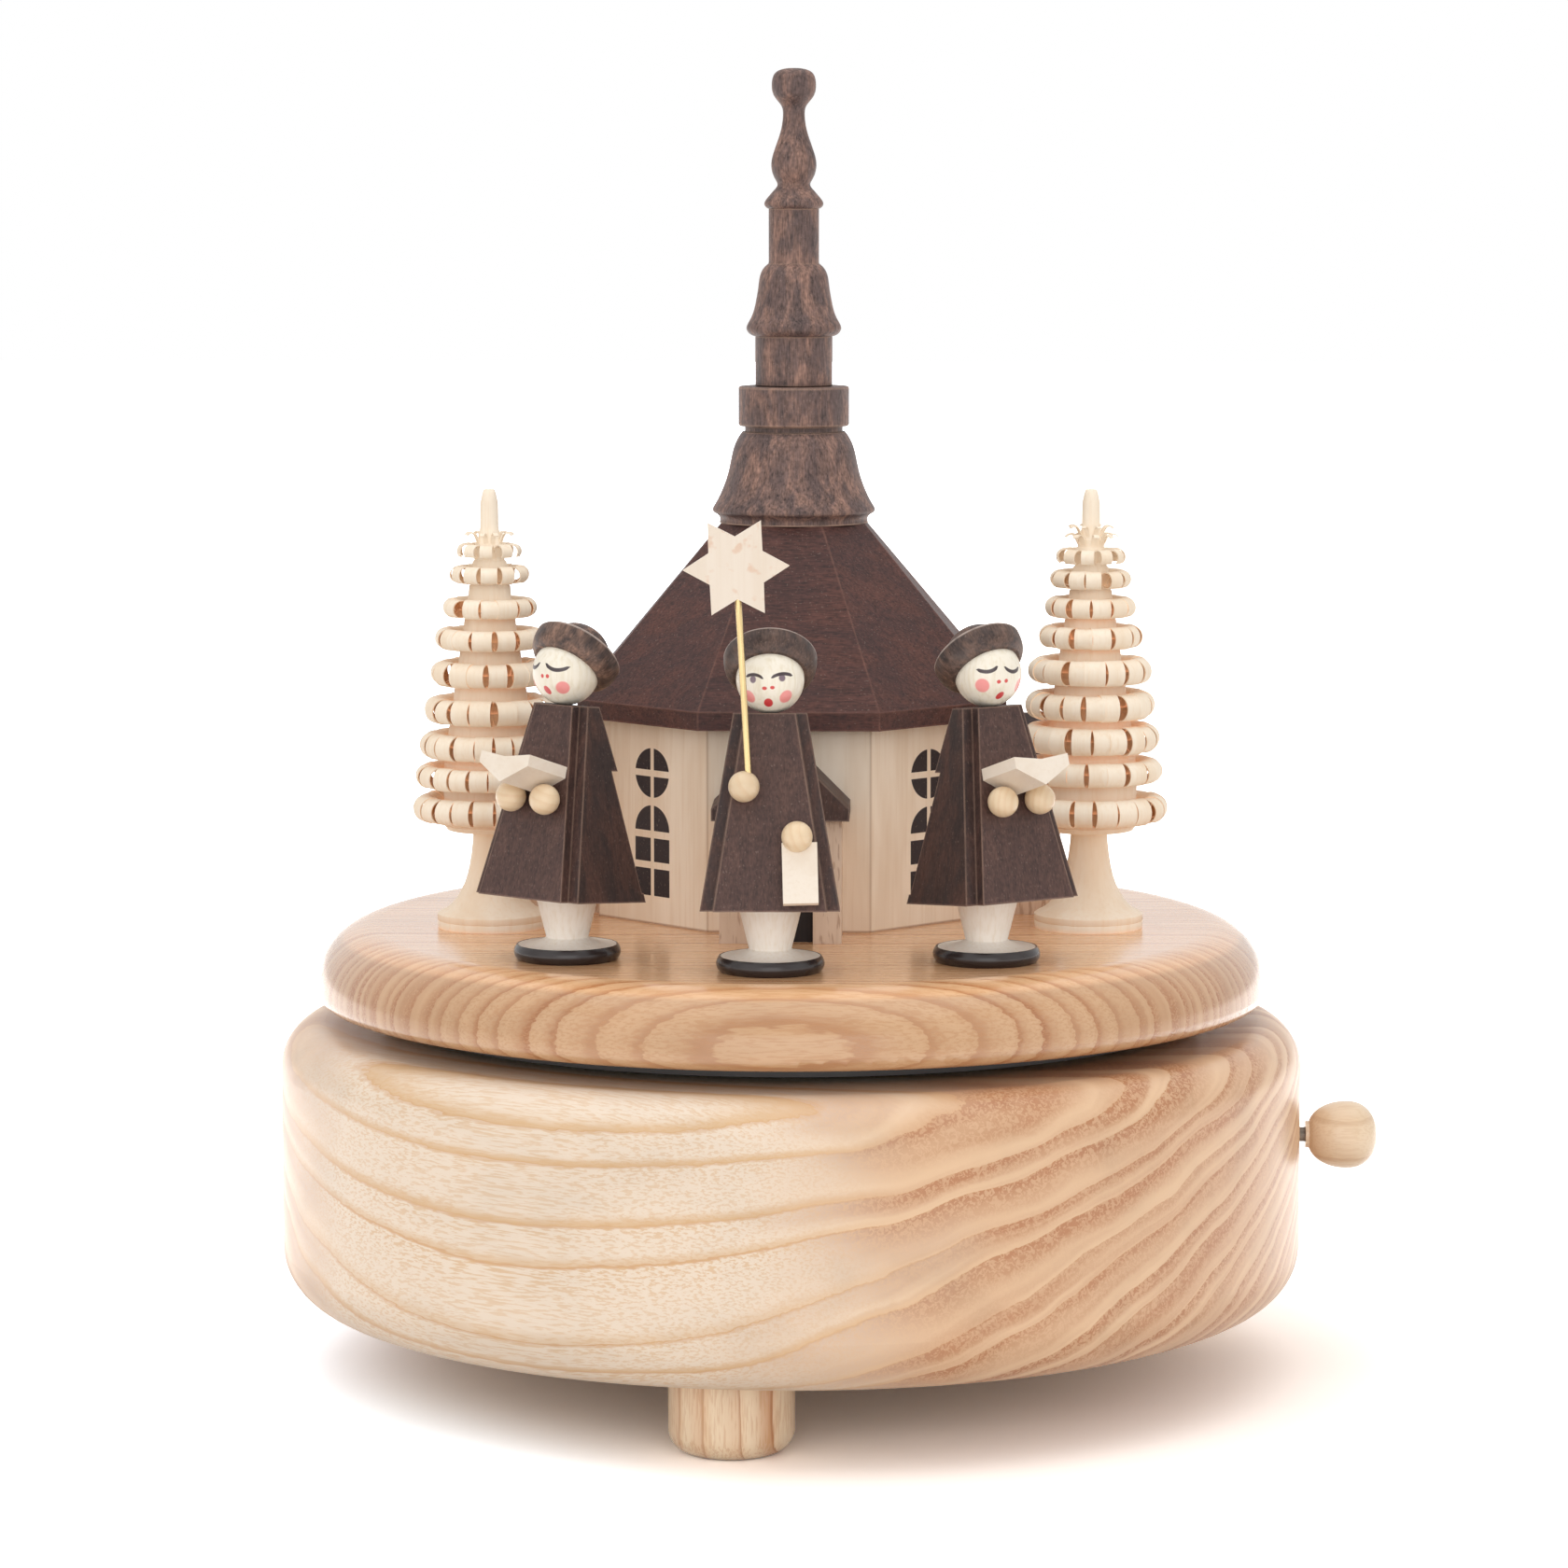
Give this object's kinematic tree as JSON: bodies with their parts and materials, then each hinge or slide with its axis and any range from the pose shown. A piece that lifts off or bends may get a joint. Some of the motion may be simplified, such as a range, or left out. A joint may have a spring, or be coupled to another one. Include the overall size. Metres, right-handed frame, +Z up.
{
  "type": "wooden music box",
  "caption": "Round wooden music box: a wound movement in the base turns a table with an eight-sided church, shaved trees and carol singers; a side knob stops it.",
  "frame": {"origin": "on the table under the middle of the round base, in the plane of the feet", "axes": "+Z up, -Y towards the church's front door and the singers, +X towards the stop knob"},
  "size_m": [0.1507, 0.14, 0.1782],
  "materials": {
    "ash": "pale ash under clear satin lacquer",
    "bedplate_iron": "plain cast, matt",
    "black_disc": "matt black",
    "board": "plain plywood",
    "brass": "plain satin",
    "cream_paint": "thin cream paint on turned wood, black foot rim",
    "door_wood": "black-brown stain",
    "fan_plastic": "natural, matt",
    "ivory_paint": "ivory gloss paint on turned wood",
    "pad_rubber": "matt",
    "pale_wood": "pale maple and lime wood, plain",
    "stained_wood": "walnut-brown stain, satin",
    "steel": "plain satin",
    "table_ash": "warm ash under clear gloss lacquer"
  },
  "bodies": {
    "base": {"base_body": "ash", "feet": "ash", "bottom_board": "board", "bottom_screws": "steel", "bedplate": "bedplate_iron", "bedplate_screws": "steel", "comb": "steel", "comb_screws": "steel", "governor_frame": "brass", "clutch_spring": "steel", "deck_bush": "brass", "stop_bush": "brass"},
    "stop": {"stop_knob": "ash", "stop_rod": "steel", "stop_pad": "pad_rubber"},
    "winding": {"winding_key": "steel", "winding_arbor": "steel"},
    "cylinder": {"pinned_cylinder": "brass", "cylinder_gears": "brass", "cylinder_arbor": "steel"},
    "governor": {"governor_wheel": "brass"},
    "fan": {"worm_fan": "fan_plastic"},
    "turntable": {"turntable": "table_ash", "drive_disc": "black_disc", "hub_screws": "steel", "output_shaft": "steel", "barrel_drum": "brass", "barrel_crown": "brass", "mainspring": "steel", "church_walls": "pale_wood", "soffit_board": "pale_wood", "roof_panels": "stained_wood", "front_porch": "pale_wood", "front_porch_roof": "stained_wood", "side_porches": "pale_wood", "side_porch_roofs": "stained_wood", "porch_doors": "door_wood", "spire_bell": "stained_wood", "spire_collar": "stained_wood", "spire_tower": "stained_wood", "spire_finial": "stained_wood", "tree_left": "pale_wood", "tree_right": "pale_wood", "stand_left": "cream_paint", "coat_left": "stained_wood", "head_left": "ivory_paint", "hat_left": "stained_wood", "stand_centre": "cream_paint", "coat_centre": "stained_wood", "head_centre": "ivory_paint", "hat_centre": "stained_wood", "stand_right": "cream_paint", "coat_right": "stained_wood", "head_right": "ivory_paint", "hat_right": "stained_wood", "hands": "pale_wood", "open_songbooks": "pale_wood", "closed_songbook": "pale_wood", "star": "pale_wood", "star_pole": "brass"}
  },
  "joints": [
    {"name": "turntable_spin", "type": "hinge", "parent": "base", "child": "turntable", "pos_m": [0, 0, 0.05], "axis": [0, 0, 1], "continuous": true},
    {"name": "cylinder_spin", "type": "hinge", "parent": "base", "child": "cylinder", "pos_m": [0.02029, -0.0085, 0.03285], "axis": [0.9223, -0.3866, 0], "continuous": true},
    {"name": "governor_spin", "type": "hinge", "parent": "base", "child": "governor", "pos_m": [0.0328, -0.00453, 0.0275], "axis": [0.9223, -0.3866, 0], "continuous": true},
    {"name": "fan_spin", "type": "hinge", "parent": "base", "child": "fan", "pos_m": [0.03622, 0, 0.0275], "axis": [0, 0, 1], "continuous": true},
    {"name": "key_wind", "type": "hinge", "parent": "base", "child": "winding", "pos_m": [0, 0, 0.007], "axis": [0, 0, 1], "continuous": true},
    {"name": "stop_pull", "type": "slide", "parent": "base", "child": "stop", "axis": [1, 0, 0], "range_m": [0, 0.004]}
  ],
  "couplings": [
    {"joint": "cylinder_spin", "follows": "turntable_spin", "ratio": 2},
    {"joint": "governor_spin", "follows": "turntable_spin", "ratio": -8},
    {"joint": "fan_spin", "follows": "turntable_spin", "ratio": 128}
  ]
}
